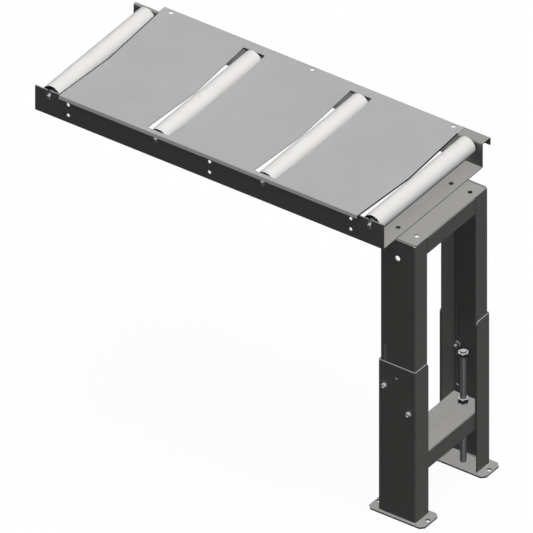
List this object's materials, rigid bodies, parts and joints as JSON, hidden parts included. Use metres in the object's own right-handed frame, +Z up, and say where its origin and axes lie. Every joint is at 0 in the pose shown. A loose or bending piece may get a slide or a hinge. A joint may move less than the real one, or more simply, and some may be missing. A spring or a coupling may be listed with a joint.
{
  "type": "roller table",
  "caption": "Roller table bed with steel rollers over a drip cover, held at one end by a height-adjustable stand with jack screws.",
  "frame": {"origin": "centre of the four floor-anchor holes, on the floor", "axes": "+Z up, +X along the bed towards the stand, +Y towards the rear rail"},
  "size_m": [1.085, 0.4478, 0.874],
  "materials": {
    "frame_paint": "satin grey powder coat",
    "cover_paint": "satin light grey powder coat",
    "roller_steel": "bright zinc plated tube",
    "black_plastic": "matt moulded plastic",
    "bright_steel": "ground steel",
    "zinc_fasteners": "zinc plated"
  },
  "bodies": {
    "stand_base": {"sleeve_front": "frame_paint", "sleeve_rear": "frame_paint", "foot_plate_front": "frame_paint", "foot_plate_rear": "frame_paint", "clamp_bolts_front": "zinc_fasteners", "clamp_bolts_rear": "zinc_fasteners", "clamp_washers_front": "zinc_fasteners", "clamp_washers_rear": "zinc_fasteners", "clamp_nuts_front": "zinc_fasteners", "clamp_nuts_rear": "zinc_fasteners"},
    "lift_frame": {"front_rail": "frame_paint", "rear_rail": "frame_paint", "machine_end_plate": "frame_paint", "stand_end_plate": "frame_paint", "cover_plate": "cover_paint", "roller_1_axle": "bright_steel", "roller_2_axle": "bright_steel", "roller_3_axle": "bright_steel", "roller_4_axle": "bright_steel", "bearing_inner_rings": "bright_steel", "stand_head": "frame_paint", "inner_leg_front": "frame_paint", "inner_leg_rear": "frame_paint", "jack_beam": "frame_paint", "jack_nut_front": "zinc_fasteners", "jack_nut_rear": "zinc_fasteners"},
    "roller_1": {"roller_1_tube": "roller_steel", "roller_1_end_cups": "black_plastic", "roller_1_bearings": "bright_steel"},
    "roller_2": {"roller_2_tube": "roller_steel", "roller_2_end_cups": "black_plastic", "roller_2_bearings": "bright_steel"},
    "roller_3": {"roller_3_tube": "roller_steel", "roller_3_end_cups": "black_plastic", "roller_3_bearings": "bright_steel"},
    "roller_4": {"roller_4_tube": "roller_steel", "roller_4_end_cups": "black_plastic", "roller_4_bearings": "bright_steel"},
    "jack_front": {"jack_screw_front": "zinc_fasteners"},
    "jack_rear": {"jack_screw_rear": "zinc_fasteners"}
  },
  "joints": [
    {"name": "head_lift", "type": "slide", "parent": "stand_base", "child": "lift_frame", "axis": [0, 0, 1], "range_m": [-0.11, 0.11]},
    {"name": "roller_1_spin", "type": "hinge", "parent": "lift_frame", "child": "roller_1", "pos_m": [-0.9645, 0, 0.849], "axis": [0, 1, 0], "continuous": true},
    {"name": "roller_2_spin", "type": "hinge", "parent": "lift_frame", "child": "roller_2", "pos_m": [-0.65817, 0, 0.849], "axis": [0, 1, 0], "continuous": true},
    {"name": "roller_3_spin", "type": "hinge", "parent": "lift_frame", "child": "roller_3", "pos_m": [-0.35183, 0, 0.849], "axis": [0, 1, 0], "continuous": true},
    {"name": "roller_4_spin", "type": "hinge", "parent": "lift_frame", "child": "roller_4", "pos_m": [-0.0455, 0, 0.849], "axis": [0, 1, 0], "continuous": true},
    {"name": "jack_front_turn", "type": "hinge", "parent": "stand_base", "child": "jack_front", "pos_m": [0, -0.12, 0.005], "axis": [0, 0, 1], "range_deg": [-19810, 19810]},
    {"name": "jack_rear_turn", "type": "hinge", "parent": "stand_base", "child": "jack_rear", "pos_m": [0, 0.12, 0.005], "axis": [0, 0, 1], "range_deg": [-19810, 19810]}
  ],
  "couplings": [
    {"joint": "jack_front_turn", "follows": "head_lift", "rad_per_m": -3141.6},
    {"joint": "jack_rear_turn", "follows": "head_lift", "rad_per_m": -3141.6}
  ]
}
